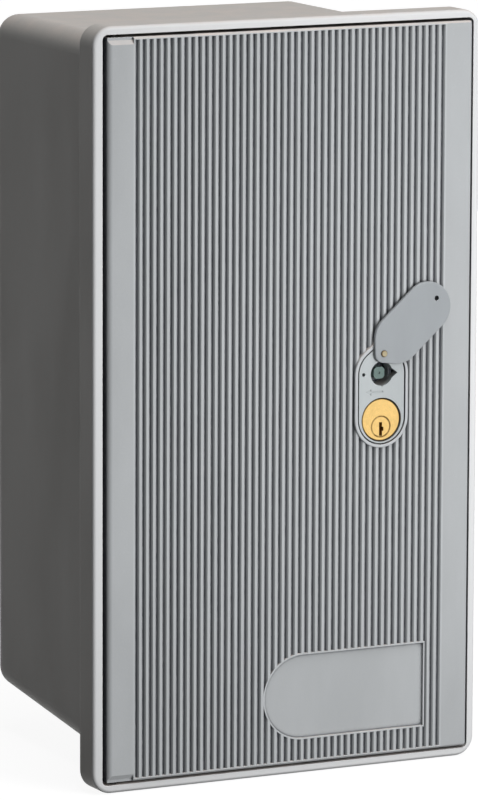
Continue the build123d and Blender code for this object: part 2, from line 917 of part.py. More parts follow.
with BuildPart() as socket_post:
    for start, end, radius in (
        (cam_front, post_front, post_radius),
        (
            sleeve_rear - slide_gap - post_collar_thickness,
            sleeve_rear - slide_gap,
            post_collar_radius,
        ),
    ):
        with BuildSketch(facing(start)):
            with Locations((lock_x, socket_z)):
                Circle(radius)
        extrude(amount=end - start)
    # four flats for the service key, and a centre mark
    with BuildSketch(facing(post_front - post_square_length)):
        with Locations((lock_x, socket_z)):
            Circle(post_radius)
            Rectangle(post_square, post_square, mode=Mode.SUBTRACT)
    extrude(amount=post_square_length, mode=Mode.SUBTRACT)
    with BuildSketch(facing(post_front - post_mark_depth)):
        with Locations((lock_x, socket_z)):
            Circle(post_mark_radius)
    extrude(amount=post_mark_depth, mode=Mode.SUBTRACT)
    with BuildSketch(facing(cam_front)):
        with Locations((lock_x, socket_z)):
            Circle(cam_screw_radius)
    extrude(amount=cam_screw_length - cam_thickness + screw_tip_gap, mode=Mode.SUBTRACT)
socket_post.part.label = "socket_post"


# Cams on the plug and the post, each held by a countersunk screw

with BuildPart() as plug_cam:
    add(cam(cam_rear, plug_z, 1))
plug_cam.part.label = "plug_cam"

with BuildPart() as post_cam:
    add(cam(cam_rear, socket_z, -1))
post_cam.part.label = "post_cam"

with BuildPart() as plug_cam_screw:
    add(cam_screw(cam_rear, plug_z))
plug_cam_screw.part.label = "plug_cam_screw"

with BuildPart() as post_cam_screw:
    add(cam_screw(cam_rear, socket_z))
post_cam_screw.part.label = "post_cam_screw"


# Latch bolt: a slide plate with a slot for each crank pin, and a nose

pin_slot_width = 2 * (cam_pin_radius + pin_slot_play)
pin_slot_height = crank_radius - crank_offset + pin_slot_width

with BuildPart() as latch_bolt:
    with BuildSketch(facing(bolt_rear)):
        with Locations((lock_x - bolt_plate_left, bolt_bottom_z)):
            Rectangle(bolt_plate_width, bolt_top_z - bolt_bottom_z, align=(Align.MIN, Align.MIN))
        with Locations((bolt_tip_x, bolt_z)):
            Rectangle(
                bolt_tip_x - lock_x,
                bolt_nose_height,
                align=(Align.MAX, Align.CENTER),
            )
        with Locations(
            (lock_x - crank_offset, plug_z + (crank_offset + crank_radius) / 2),
            (lock_x - crank_offset, socket_z - (crank_offset + crank_radius) / 2),
        ):
            Rectangle(pin_slot_width, pin_slot_height, mode=Mode.SUBTRACT)
    extrude(amount=bolt_thickness)
    nose_end = latch_bolt.faces().sort_by(Axis.X)[-1]
    chamfer(nose_end.edges().filter_by(Axis.Z), bolt_nose_chamfer)
latch_bolt.part.label = "latch_bolt"


# Lock case, screwed to the door over the bolt work

with BuildPart() as lock_case:
    with BuildSketch(facing(case_floor - case_wall)):
        with Locations((case_left_x - case_wall, case_bottom_z - case_wall)):
            Rectangle(
                case_right_x - case_left_x + 2 * case_wall,
                case_top_z - case_bottom_z + 2 * case_wall,
                align=(Align.MIN, Align.MIN),
            )
    extrude(amount=slab_rear - case_floor + case_wall)
    with BuildSketch(facing(case_floor)):
        with Locations((case_left_x, case_bottom_z)):
            Rectangle(
                case_right_x - case_left_x,
                case_top_z - case_bottom_z,
                align=(Align.MIN, Align.MIN),
            )
    extrude(amount=slab_rear - case_floor, mode=Mode.SUBTRACT)
    # rails that keep the bolt on the case floor
    with BuildSketch(facing(bolt_front + slide_gap)):
        for z, side in ((case_top_z, Align.MAX), (case_bottom_z, Align.MIN)):
            with Locations((case_left_x, z)):
                Rectangle(case_right_x - case_left_x, case_rail_width, align=(Align.MIN, side))
    extrude(amount=case_rail_thickness)
    # slot for the bolt's nose
    with BuildSketch(Plane.YZ.offset(case_right_x)):
        with Locations((-bolt_front - slide_gap, bolt_z)):
            Rectangle(
                bolt_thickness + 2 * slide_gap,
                bolt_nose_height + 2 * slide_gap,
                align=(Align.MIN, Align.CENTER),
            )
    extrude(amount=case_wall, mode=Mode.SUBTRACT)
    # lugs, each a round ear joined to the nearer side wall
    for x, z in case_lug_places:
        to_wall = case_left_x - case_wall if x < lock_x else case_right_x + case_wall
        with BuildSketch(facing(lug_front - case_lug_thickness)):
            with Locations((x, z)):
                Circle(case_lug_radius)
            with Locations(((x + to_wall) / 2, z)):
                Rectangle(abs(to_wall - x), 2 * case_lug_radius)
            with Locations((x, z)):
                Circle(small_screw_radius + screw_hole_fit, mode=Mode.SUBTRACT)
        extrude(amount=case_lug_thickness)
lock_case.part.label = "lock_case"

with BuildPart() as lock_case_screws:
    for x, z in case_lug_places:
        seat = Plane(
            origin=(x, case_lug_thickness - lug_front, z),
            x_dir=(1, 0, 0),
            z_dir=(0, 1, 0),
        )
        add(
            screw(
                seat,
                small_screw_radius,
                small_screw_length,
                small_head_radius,
                small_head_height,
            )
        )
lock_case_screws.part.label = "lock_case_screws"


# One file for each piece

pieces = [
    body_shell,
    door_gasket,
    cable_grommets,
    meter_board,
    board_screws,
    strike_bracket,
    strike_screws,
    hinge_pins,
    hinge_bushes,
    door_panel,
    lock_plate,
    swing_cover,
    cover_rivet,
    cylinder_housing,
    cylinder_nut,
    cylinder_plug,
    plug_cam,
    plug_cam_screw,
    socket_post,
    post_cam,
    post_cam_screw,
    latch_bolt,
    lock_case,
    lock_case_screws,
]

os.makedirs("parts", exist_ok=True)
for piece in pieces:
    export_step(piece.part, f"parts/{piece.part.label}.step")
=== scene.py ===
"""Looks of a wall box for an electricity meter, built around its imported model.

Lengths are metres, in the model's own frame: the wall is the plane Y = 0 and the door
faces -Y. The file is laid out as an add-on and run as a script.
"""

import json
import math

import bmesh
import bpy
from bpy.props import FloatProperty, FloatVectorProperty, IntProperty, PointerProperty
from mathutils import Matrix, Vector


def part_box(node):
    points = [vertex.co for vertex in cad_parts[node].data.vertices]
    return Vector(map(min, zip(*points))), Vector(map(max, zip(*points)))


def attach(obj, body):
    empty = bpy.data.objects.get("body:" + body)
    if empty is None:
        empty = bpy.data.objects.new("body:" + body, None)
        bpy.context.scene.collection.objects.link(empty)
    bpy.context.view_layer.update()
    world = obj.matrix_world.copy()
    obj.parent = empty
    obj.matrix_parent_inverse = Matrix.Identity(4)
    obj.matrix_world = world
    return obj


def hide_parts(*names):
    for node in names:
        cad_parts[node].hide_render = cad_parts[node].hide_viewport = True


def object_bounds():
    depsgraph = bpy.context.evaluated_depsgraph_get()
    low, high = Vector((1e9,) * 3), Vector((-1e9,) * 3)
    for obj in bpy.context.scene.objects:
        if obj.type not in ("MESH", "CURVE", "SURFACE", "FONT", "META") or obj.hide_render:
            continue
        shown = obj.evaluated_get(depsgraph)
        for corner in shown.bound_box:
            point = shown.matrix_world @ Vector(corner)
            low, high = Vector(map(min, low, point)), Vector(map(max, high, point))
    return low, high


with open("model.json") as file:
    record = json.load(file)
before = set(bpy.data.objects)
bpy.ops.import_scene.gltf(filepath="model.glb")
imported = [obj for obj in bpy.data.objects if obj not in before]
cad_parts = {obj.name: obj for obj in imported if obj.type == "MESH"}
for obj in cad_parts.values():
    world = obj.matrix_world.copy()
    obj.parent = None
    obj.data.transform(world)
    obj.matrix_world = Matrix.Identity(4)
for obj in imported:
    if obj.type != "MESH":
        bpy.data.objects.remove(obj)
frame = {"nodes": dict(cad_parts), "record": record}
CAD_LOW, CAD_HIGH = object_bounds()

bl_info = {
    "name": "Meter Box",
    "version": (1, 0, 0),
    "blender": (4, 5, 0),
    "location": "3D View > Sidebar > Meter Box",
    "description": "Finishes, seals and stage for a moulded wall box with a ribbed door",
    "category": "Object",
}

MM = 0.001

# Places on the moulding in millimetres: two bands of stand-off from the wall, and the
# ribs' outer sides with the stand-off of their crests
RIM_BAND = (176.6, 178.0)
GROOVE_BAND = (178.9, 180.2)
RIB_FIELD = (-94.5, 96.0, 180.45)

# Colours painted on the finishes: dust, soil and dark joints, together with the painted shade
# and painted highlight mixed into them
GROOVE_SHADE_AND_SOIL = (0.022, 0.025, 0.033, 1.0)
CORNER_SHADOW_BLACK = (0.012, 0.013, 0.015, 1.0)
STEEL_SOIL_AND_SHADE = (0.12, 0.11, 0.10, 1.0)
BOARD_SOIL_AND_SHADE = (0.14, 0.13, 0.11, 1.0)
RING_JOINT_AND_SHADE = (0.14, 0.075, 0.02, 1.0)
DUST_AND_TOP_LIGHT = (0.66, 0.58, 0.53, 1.0)
PAINT_DUST = (0.50, 0.46, 0.41, 1.0)
RUBBER_DUST = (0.30, 0.28, 0.25, 1.0)
RIM_HIGHLIGHT = (0.715, 0.722, 0.728, 1.0)


# Node trees


def node(tree, kind, settings=None, **inputs):
    """One new node. Its inputs are set by name to a value, or joined to a socket."""
    made = tree.nodes.new(kind)
    for name, value in (settings or {}).items():
        setattr(made, name, value)
    for name, value in inputs.items():
        put(tree, made.inputs[name.replace("_", " ")], value)
    return made


def put(tree, socket, value):
    """Sets an input to a value, or joins it to the socket given."""
    if isinstance(value, bpy.types.NodeSocket):
        tree.links.new(value, socket)
    else:
        socket.default_value = value


def math_node(tree, operation, first, second=None, clamp=False):
    """A Math node's result."""
    made = tree.nodes.new("ShaderNodeMath")
    made.operation = operation
    made.use_clamp = clamp
    for socket, value in zip(made.inputs, (first, second)):
        if value is not None:
            put(tree, socket, value)
    return made.outputs[0]


def vector_node(tree, operation, first, second=None):
    """A Vector Math node, whose result is its Vector or its Value."""
    made = tree.nodes.new("ShaderNodeVectorMath")
    made.operation = operation
    for socket, value in zip(made.inputs, (first, second)):
        if value is not None:
            put(tree, socket, value)
    return made


def remap(tree, value, low, high, to_low=0.0, to_high=1.0, smooth=False):
    """A value moved from one range to another and held inside it."""
    made = tree.nodes.new("ShaderNodeMapRange")
    made.interpolation_type = "SMOOTHSTEP" if smooth else "LINEAR"
    for socket, number in zip(made.inputs, (value, low, high, to_low, to_high)):
        put(tree, socket, number)
    return made.outputs[0]


def blend_colours(tree, share, first, second):
    """The first colour, turned into the second by a share from 0 to 1."""
    made = tree.nodes.new("ShaderNodeMix")
    made.data_type = "RGBA"
    colour_inputs = [socket for socket in made.inputs if socket.type == "RGBA"]
    put(tree, made.inputs[0], share)
    put(tree, colour_inputs[0], first)
    put(tree, colour_inputs[1], second)
    return next(socket for socket in made.outputs if socket.type == "RGBA")


def parts_of(tree, vector):
    """The X, Y and Z of a vector."""
    made = tree.nodes.new("ShaderNodeSeparateXYZ")
    put(tree, made.inputs[0], vector)
    return made.outputs


def own_place(tree):
    """A point's place in the piece's own frame, which moves with the piece."""
    return tree.nodes.new("ShaderNodeTexCoord").outputs["Object"]


def stretched(tree, place, scale):
    """A place scaled by its own factor along each axis."""
    return vector_node(tree, "MULTIPLY", place, scale).outputs["Vector"]


def noise(tree, place, scale, detail=2.0, roughness=0.5):
    """A soft random value from 0 to 1, with features about 1 / scale metres long."""
    made = node(
        tree,
        "ShaderNodeTexNoise",
        Vector=place,
        Scale=scale,
        Detail=detail,
        Roughness=roughness,
    )
    return made.outputs[0]


# Effects that several materials share


def new_group(name, inputs, outputs):
    """An empty node group. inputs and outputs are (name, kind, default) rows."""
    tree = bpy.data.node_groups.new(name, "ShaderNodeTree")
    for direction, rows in (("INPUT", inputs), ("OUTPUT", outputs)):
        for label, kind, default in rows:
            socket = tree.interface.new_socket(
                name=label, in_out=direction, socket_type="NodeSocket" + kind
            )
            if default is not None:
                socket.default_value = default
    return tree, tree.nodes.new("NodeGroupInput"), tree.nodes.new("NodeGroupOutput")


def mould_grain_group():
    """The fine spark-eroded grain of a mould, with slow flow marks in its tone."""
    tree, given, result = new_group(
        "Mould grain",
        [("Grain Size", "Float", 0.6), ("Flow Size", "Float", 60.0)],
        [("Height", "Float", None), ("Tone", "Float", None), ("Fleck", "Float", None)],
    )
    place = own_place(tree)
    fine = math_node(tree, "DIVIDE", 1 / MM, given.outputs["Grain Size"])
    slow = math_node(tree, "DIVIDE", 1 / MM, given.outputs["Flow Size"])
    grain = noise(tree, place, fine, 3.0, 0.62)
    pits = noise(tree, place, math_node(tree, "MULTIPLY", fine, 0.37), 2.0)
    height = math_node(tree, "ADD", grain, math_node(tree, "MULTIPLY", pits, 0.8))
    flow = noise(tree, stretched(tree, place, (1.6, 1.6, 0.55)), slow, 4.0, 0.55)
    specks = noise(tree, place, math_node(tree, "MULTIPLY", fine, 0.55), 1.0)
    put(tree, result.inputs["Height"], height)
    put(tree, result.inputs["Tone"], remap(tree, flow, 0.33, 0.67))
    put(tree, result.inputs["Fleck"], remap(tree, specks, 0.66, 0.74))
    return tree


def soft_edges_group():
    """Edges rounded in their shading, and a broken mask of the rounded edges, which the
    materials paint lighter: painted highlight and rubbing.
    """
    tree, given, result = new_group(
        "Soft edges",
        [("Radius", "Float", 0.0004)],
        [("Normal", "Vector", None), ("Rubbed And Highlit", "Float", None)],
    )
    rounding = tree.nodes.new("ShaderNodeBevel")
    rounding.samples = 6
    put(tree, rounding.inputs["Radius"], given.outputs["Radius"])
    flat = tree.nodes.new("ShaderNodeNewGeometry").outputs["Normal"]
    facing = vector_node(tree, "DOT_PRODUCT", rounding.outputs[0], flat).outputs["Value"]
    bend = remap(tree, facing, 0.995, 0.80)
    broken = noise(tree, own_place(tree), 160.0, 4.0, 0.7)
    rubbed_and_highlit = math_node(tree, "MULTIPLY", bend, remap(tree, broken, 0.36, 0.62, 0.35, 1.0))
    put(tree, result.inputs["Normal"], rounding.outputs[0])
    put(tree, result.inputs["Rubbed And Highlit"], rubbed_and_highlit)
    return tree


def deep_corners_group():
    """How deep a point sits between faces, its own or a neighbour's: 0 in the open. The
    materials paint shade with it.
    """
    tree, given, result = new_group(
        "Deep corners", [("Reach", "Float", 0.004)], [("Depth", "Float", None)]
    )
    open_share, deep_share = 0.78, 0.18
    occlusion = node(
        tree,
        "ShaderNodeAmbientOcclusion",
        {"samples": 6, "only_local": False},
        Distance=given.outputs["Reach"],
    )
    depth = remap(tree, occlusion.outputs["AO"], open_share, deep_share)
    put(tree, result.inputs["Depth"], depth)
    return tree


def settled_dust_group():
    """Thin dust that has settled on faces that look up."""
    tree, given, result = new_group(
        "Settled dust", [("Amount", "Float", 0.4)], [("Dust", "Float", None)]
    )
    normal = tree.nodes.new("ShaderNodeTexCoord").outputs["Normal"]
    level = remap(tree, parts_of(tree, normal)["Z"], 0.25, 0.75)
    patches = noise(tree, own_place(tree), 55.0, 5.0, 0.65)
    patches = remap(tree, patches, 0.35, 0.7, 0.35, 1.0)
    amount = math_node(tree, "MULTIPLY", level, given.outputs["Amount"])
    put(tree, result.inputs["Dust"], math_node(tree, "MULTIPLY", patches, amount))
    return tree


def turning_marks_group():
    """Fine rings that a lathe leaves on a face square to Y, round a centre."""
    tree, given, result = new_group(
        "Turning marks",
        [("Centre", "Vector", (0.0, 0.0, 0.0)), ("Pitch", "Float", 0.25)],
        [("Height", "Float", None), ("Tone", "Float", None)],
    )
    place = vector_node(tree, "SUBTRACT", own_place(tree), given.outputs["Centre"])
    flat = stretched(tree, place.outputs["Vector"], (1.0, 0.0, 1.0))
    radius = vector_node(tree, "LENGTH", flat).outputs["Value"]
    turns = math_node(tree, "MULTIPLY", radius, 2 * math.pi / MM)
    turns = math_node(tree, "DIVIDE", turns, given.outputs["Pitch"])
    rings = math_node(tree, "SINE", turns)
    uneven = node(
        tree,
        "ShaderNodeTexNoise",
        {"noise_dimensions": "1D"},
        W=math_node(tree, "MULTIPLY", radius, 1 / MM),
        Scale=5.0,
        Detail=3.0,
    ).outputs[0]
    height = math_node(tree, "ADD", math_node(tree, "MULTIPLY", rings, 0.35), uneven)
    put(tree, result.inputs["Height"], height)
    put(tree, result.inputs["Tone"], remap(tree, uneven, 0.3, 0.7))
    return tree


def rolled_sheet_group():
    """Faint drawn lines along Z, as rolled sheet metal has under its plating."""
    tree, given, result = new_group(
        "Rolled sheet",
        [("Line Width", "Float", 0.2)],
        [("Height", "Float", None), ("Spangle", "Float", None)],
    )
    place = own_place(tree)
    fine = math_node(tree, "DIVIDE", 1 / MM, given.outputs["Line Width"])
    lines = noise(tree, stretched(tree, place, (1.0, 1.0, 0.03)), fine, 3.0)
    spots = noise(tree, place, 240.0, 3.0, 0.6)
    put(tree, result.inputs["Height"], lines)
    put(tree, result.inputs["Spangle"], remap(tree, spots, 0.38, 0.62))
    return tree


GROUP_MAKERS = {
    "grain": mould_grain_group,
    "edges": soft_edges_group,
    "corners": deep_corners_group,
    "dust": settled_dust_group,
    "turning": turning_marks_group,
    "sheet": rolled_sheet_group,
}
groups = {}


def effect(tree, name, **inputs):
    """Places a shared effect in a material, with the material's own values."""
    if name not in groups:
        groups[name] = GROUP_MAKERS[name]()
    made = tree.nodes.new("ShaderNodeGroup")
    made.node_tree = groups[name]
    for label, value in inputs.items():
        put(tree, made.inputs[label.replace("_", " ")], value)
    return made.outputs


# Materials


def new_material(name):
    """A material with only its shader and its output."""
    material = bpy.data.materials.new(name)
    material.use_nodes = True
    tree = material.node_tree
    tree.nodes.clear()
    shader = tree.nodes.new("ShaderNodeBsdfPrincipled")
    output = tree.nodes.new("ShaderNodeOutputMaterial")
    tree.links.new(shader.outputs["BSDF"], output.inputs["Surface"])
    return material, tree, shader


def shade(colour, factor):
    """A colour made lighter or darker, as the four numbers of a socket."""
    return [min(1.0, part * factor) for part in colour[:3]] + [1.0]


def bumped(tree, shader, height, strength, distance, normal=None):
    """Feeds a height to the shader's normal, over an edge-rounded normal if given."""
    bump = tree.nodes.new("ShaderNodeBump")
    bump.inputs["Strength"].default_value = strength
    bump.inputs["Distance"].default_value = distance
    tree.links.new(height, bump.inputs["Height"])
    if normal is not None:
        tree.links.new(normal, bump.inputs["Normal"])
    tree.links.new(bump.outputs["Normal"], shader.inputs["Normal"])


def moulded_plastic(
    name,
    colour,
    roughness,
    grain=0.6,
    grain_height=0.25,
    edge=0.4,
    rubbed_and_highlit=0.35,
    corner=0.35,
    dust=0.15,
    groove=None,
    paled=None,
    crests=None,
    gloss=0.5,
):
    """Moulded plastic with mould grain, flow marks, edges painted lighter as highlight and
    rubbing, painted shade mixed with soiling in corners and grooves, and dust that also paints
    top light on faces that look up.

    groove is the pair of stand-offs between which the ribs' grooves get painted shade, paled
    the pair between which a rim is painted pale as a highlight, and crests the two sides and
    the stand-off of the ribs, whose crests are painted lighter in streaks.
    """
    material, tree, shader = new_material(name)
    marks = effect(tree, "grain", Grain_Size=grain)
    edges = effect(tree, "edges", Radius=edge * MM)
    corners = effect(tree, "corners", Reach=3.5 * MM)
    settled = effect(tree, "dust", Amount=dust)
    tone = blend_colours(tree, marks["Tone"], shade(colour, 0.94), shade(colour, 1.05))
    fleck = math_node(tree, "MULTIPLY", marks["Fleck"], 0.12)
    tone = blend_colours(tree, fleck, tone, shade(colour, 1.35))
    # Painted shade mixed with soiling: ambient occlusion darkens corners, and the grooves
    # darken by their stand-off
    depth = math_node(tree, "MULTIPLY", corners["Depth"], corner)
    place = parts_of(tree, own_place(tree))
    if groove is not None:
        groove_shade = remap(tree, place["Y"], -groove[1] * MM, -groove[0] * MM)
        narrow = remap(tree, corners["Depth"], 0.0, 0.12)
        depth = math_node(tree, "MAXIMUM", depth, math_node(tree, "MULTIPLY", groove_shade, narrow))
    # Painted highlight: the frame's rim, between two stand-offs, is turned pale
    if paled is not None:
        rim = remap(tree, place["Y"], -paled[0] * MM, -paled[1] * MM)
        tone = blend_colours(tree, rim, tone, RIM_HIGHLIGHT)
    # The ribs' crests are painted lighter, in lengthwise streaks
    if crests is not None:
        left, right, level = crests
        soft_side, soft_top = 0.4, 0.25
        high = remap(tree, place["Y"], -(level - soft_top) * MM, -level * MM)
        inside = math_node(
            tree,
            "MULTIPLY",
            remap(tree, place["X"], (left - soft_side) * MM, left * MM),
            remap(tree, place["X"], (right + soft_side) * MM, right * MM),
        )
        lengthwise = stretched(tree, own_place(tree), (1.0, 1.0, 0.06))
        streaks = remap(tree, noise(tree, lengthwise, 260.0, 3.0), 0.3, 0.65, 0.45, 1.0)
        crest_pale = math_node(tree, "MULTIPLY", high, inside)
        crest_pale = math_node(tree, "MULTIPLY", crest_pale, streaks)
        tone = blend_colours(tree, crest_pale, tone, shade(colour, 1.16))
    # Painted shade: corners and grooves turn towards the dark groove colour
    tone = blend_colours(tree, depth, tone, GROOVE_SHADE_AND_SOIL)
    # Painted highlight with some rubbing: rounded edges turn lighter
    worn_and_highlit = math_node(tree, "MULTIPLY", edges["Rubbed And Highlit"], rubbed_and_highlit)
    tone = blend_colours(tree, worn_and_highlit, tone, shade(colour, 1.6))
    # Dust on upward faces, pale enough to paint top light on them too
    tone = blend_colours(tree, settled["Dust"], tone, DUST_AND_TOP_LIGHT)
    tree.links.new(tone, shader.inputs["Base Color"])
    rough = remap(tree, marks["Tone"], 0.0, 1.0, roughness - 0.04, roughness + 0.06)
    rough = math_node(tree, "SUBTRACT", rough, math_node(tree, "MULTIPLY", worn_and_highlit, 0.15))
    rough = math_node(tree, "ADD", rough, math_node(tree, "MULTIPLY", settled["Dust"], 0.3))
    tree.links.new(rough, shader.inputs["Roughness"])
    shader.inputs["Specular IOR Level"].default_value = gloss
    bumped(tree, shader, marks["Height"], grain_height, 0.12 * MM, edges["Normal"])
    return material


def painted_metal(name, colour, roughness):
    """Sheet with a smooth coat of paint, with dark painted shadow where it meets other faces
    and edges painted lighter as highlight and rubbing.
    """
    material, tree, shader = new_material(name)
    skin = effect(tree, "grain", Grain_Size=1.4, Flow_Size=30.0)
    edges = effect(tree, "edges", Radius=0.5 * MM)
    corners = effect(tree, "corners", Reach=4.0 * MM)
    settled = effect(tree, "dust", Amount=0.1)
    tone = blend_colours(tree, skin["Tone"], shade(colour, 0.96), shade(colour, 1.04))
    # Painted shadow: ambient occlusion turns the sides near other faces almost black
    corner_shadow = math_node(tree, "MULTIPLY", corners["Depth"], 2.2, clamp=True)
    tone = blend_colours(tree, corner_shadow, tone, CORNER_SHADOW_BLACK)
    # Painted highlight with some rubbing: rounded edges turn lighter
    worn_and_highlit = math_node(tree, "MULTIPLY", edges["Rubbed And Highlit"], 0.9)
    tone = blend_colours(tree, worn_and_highlit, tone, shade(colour, 2.2))
    tone = blend_colours(tree, settled["Dust"], tone, PAINT_DUST)
    tree.links.new(tone, shader.inputs["Base Color"])
    rough = remap(tree, skin["Tone"], 0.0, 1.0, roughness - 0.05, roughness + 0.05)
    tree.links.new(rough, shader.inputs["Roughness"])
    shader.inputs["Coat Weight"].default_value = 0.15
    shader.inputs["Coat Roughness"].default_value = 0.25
    bumped(tree, shader, skin["Height"], 0.06, 0.1 * MM, edges["Normal"])
    return material


def turned_metal(name, colour, roughness, centre, rings):
    """Metal turned on a lathe round a centre, with a tarnish film and painted shade in its
    corners.

    Each ring is the centre, and the radius and width in millimetres, of a dark line painted on
    its face; the line round the head's rim is painted shade.
    """
    material, tree, shader = new_material(name)
    marks = effect(tree, "turning", Centre=centre, Pitch=0.25)
    edges = effect(tree, "edges", Radius=0.3 * MM)
    corners = effect(tree, "corners", Reach=1.5 * MM)
    film = remap(tree, noise(tree, own_place(tree), 420.0, 5.0, 0.6), 0.35, 0.75)
    film = math_node(tree, "MULTIPLY", film, 0.3)
    # Painted shade: ambient occlusion darkens the corners, over the tarnish film
    dull = math_node(tree, "MULTIPLY", corners["Depth"], 0.8)
    dull = math_node(tree, "MAXIMUM", film, dull)
    tone = blend_colours(tree, marks["Tone"], shade(colour, 0.95), shade(colour, 1.04))
    tone = blend_colours(tree, dull, tone, shade(colour, 0.55))
    # Dark lines painted round the centre: joints, and painted shade along a rim
    for ring_centre, radius, width in rings:
        place = vector_node(tree, "SUBTRACT", own_place(tree), ring_centre)
        place = stretched(tree, place.outputs["Vector"], (1.0, 0.0, 1.0))
        away = vector_node(tree, "LENGTH", place).outputs["Value"]
        away = math_node(tree, "SUBTRACT", away, radius * MM)
        away = math_node(tree, "ABSOLUTE", away)
        dark_ring = remap(tree, away, width * MM, 0.0, smooth=True)
        patchy = remap(tree, noise(tree, own_place(tree), 500.0, 2.0), 0.3, 0.6, 0.55, 1.0)
        dark_ring = math_node(tree, "MULTIPLY", dark_ring, patchy)
        tone = blend_colours(tree, dark_ring, tone, RING_JOINT_AND_SHADE)
        dull = math_node(tree, "MAXIMUM", dull, dark_ring)
    tree.links.new(tone, shader.inputs["Base Color"])
    shader.inputs["Metallic"].default_value = 1.0
    rough = remap(tree, marks["Tone"], 0.0, 1.0, roughness - 0.05, roughness + 0.07)
    rough = math_node(tree, "ADD", rough, math_node(tree, "MULTIPLY", dull, 0.25))
    tree.links.new(rough, shader.inputs["Roughness"])
    bumped(tree, shader, marks["Height"], 0.6, 0.06 * MM, edges["Normal"])
    return material


def plated_steel(name, colour, roughness):
    """Zinc-plated steel with drawn lines and cloudy plating."""
    material, tree, shader = new_material(name)
    sheet = effect(tree, "sheet", Line_Width=0.2)
    edges = effect(tree, "edges", Radius=0.25 * MM)
    corners = effect(tree, "corners", Reach=1.5 * MM)
    tone = blend_colours(tree, sheet["Spangle"], shade(colour, 0.88), shade(colour, 1.06))
    # Painted shade mixed with soiling: ambient occlusion darkens the corners
    dull = math_node(tree, "MULTIPLY", corners["Depth"], 0.6)
    tone = blend_colours(tree, dull, tone, STEEL_SOIL_AND_SHADE)
    tree.links.new(tone, shader.inputs["Base Color"])
    shader.inputs["Metallic"].default_value = 1.0
    rough = remap(tree, sheet["Spangle"], 0.0, 1.0, roughness + 0.1, roughness - 0.05)
    tree.links.new(rough, shader.inputs["Roughness"])
    bumped(tree, shader, sheet["Height"], 0.18, 0.04 * MM, edges["Normal"])
    return material


def soft_rubber(name, colour, roughness, cells, depth):
    """Rubber with a fine skin, or with open cells where it is foam."""
    material, tree, shader = new_material(name)
    skin = effect(tree, "grain", Grain_Size=cells, Flow_Size=40.0)
    settled = effect(tree, "dust", Amount=0.25)
    tone = blend_colours(tree, skin["Tone"], shade(colour, 0.8), shade(colour, 1.35))
    tone = blend_colours(tree, settled["Dust"], tone, RUBBER_DUST)
    tree.links.new(tone, shader.inputs["Base Color"])
    rough = remap(tree, skin["Tone"], 0.0, 1.0, roughness - 0.06, roughness + 0.06)
    tree.links.new(rough, shader.inputs["Roughness"])
    shader.inputs["Sheen Weight"].default_value = 0.25
    shader.inputs["Sheen Roughness"].default_value = 0.5
    bumped(tree, shader, skin["Height"], depth, 0.25 * MM)
    return material


def pressed_board(name, colour):
    """Pressed laminate board with short fibres in it."""
    material, tree, shader = new_material(name)
    skin = effect(tree, "grain", Grain_Size=0.9, Flow_Size=25.0)
    edges = effect(tree, "edges", Radius=0.3 * MM)
    corners = effect(tree, "corners", Reach=2.0 * MM)
    place = own_place(tree)
    fibres = noise(tree, stretched(tree, place, (1.0, 1.0, 0.18)), 900.0, 2.0)
    crossing = noise(tree, stretched(tree, place, (0.18, 1.0, 1.0)), 900.0, 2.0)
    fibres = remap(tree, math_node(tree, "MAXIMUM", fibres, crossing), 0.55, 0.75)
    tone = blend_colours(tree, skin["Tone"], shade(colour, 0.93), shade(colour, 1.05))
    shown = math_node(tree, "MULTIPLY", fibres, 0.3)
    tone = blend_colours(tree, shown, tone, shade(colour, 0.72))
    # Painted shade mixed with soiling: ambient occlusion darkens the corners
    board_soil_and_shade = math_node(tree, "MULTIPLY", corners["Depth"], 0.5)
    tone = blend_colours(tree, board_soil_and_shade, tone, BOARD_SOIL_AND_SHADE)
    tree.links.new(tone, shader.inputs["Base Color"])
    rough = remap(tree, fibres, 0.0, 1.0, 0.42, 0.6)
    tree.links.new(rough, shader.inputs["Roughness"])
    bumped(tree, shader, skin["Height"], 0.15, 0.08 * MM, edges["Normal"])
    return material


def dress(names, material):
    """Gives nodes of the model one material in all their slots."""
    for name in names:
        mesh = frame["nodes"][name].data
        mesh.materials.clear()
        mesh.materials.append(material)


# Meshes


def add_piece(name, mesh_maker, material, body, stands_for):
    """Turns a bmesh into a smooth piece that rides a body, and hides the nodes it stands for.
    """
    mesh = bpy.data.meshes.new(name)
    bmesh.ops.recalc_face_normals(mesh_maker, faces=mesh_maker.faces)
    mesh_maker.to_mesh(mesh)
    mesh_maker.free()
    mesh.materials.append(material)
    piece = bpy.data.objects.new(name, mesh)
    bpy.context.scene.collection.objects.link(piece)
    mesh.shade_smooth()
    mesh.set_sharp_from_angle(angle=math.radians(50))
    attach(piece, body)
    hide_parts(*stands_for)


def loft(maker, loops):
    """Joins closed loops of as many points each with faces, and the last to the first."""
    rings = [[maker.verts.new(point) for point in loop] for loop in loops]
    for ring, following in zip(rings, rings[1:] + rings[:1]):
        for index in range(len(ring)):
            after = (index + 1) % len(ring)
            maker.faces.new((ring[index], ring[after], following[after], following[index]))


def rounded_rectangle(low, high, radius, steps):
    """Points round a rectangle in X and Z with round corners."""
    points = []
    for corner in range(4):
        sign_x = 1 if corner in (0, 3) else -1
        sign_z = 1 if corner in (0, 1) else -1
        centre_x = (high[0] if sign_x > 0 else low[0]) - sign_x * radius
        centre_z = (high[1] if sign_z > 0 else low[1]) - sign_z * radius
        for step in range(steps + 1):
            angle = math.pi / 2 * (corner + step / steps)
            points.append(
                (centre_x + radius * math.cos(angle), centre_z + radius * math.sin(angle))
            )
    return points


# Settings


